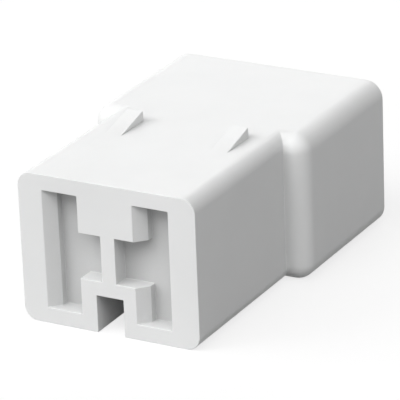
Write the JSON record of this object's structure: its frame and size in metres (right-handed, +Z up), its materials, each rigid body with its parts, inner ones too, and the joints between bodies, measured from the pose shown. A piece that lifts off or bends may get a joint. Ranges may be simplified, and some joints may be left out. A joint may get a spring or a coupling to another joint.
{
  "type": "wire-to-board connector housing",
  "caption": "Moulded housing that holds flat-blade receptacles side by side, with a stepped body, keyed underside and locking ramps on top.",
  "frame": {"origin": "middle of the underside's bounding rectangle, on the plane that the housing stands on", "axes": "+Y from the mating face to the wire entry, along the longest side; +Z up, towards the locking ramps; +X across the terminals"},
  "size_m": [0.0154, 0.023, 0.0107],
  "materials": {
    "housing": "satin natural nylon, as moulded"
  },
  "bodies": {
    "root": {"housing": "housing"}
  },
  "joints": []
}
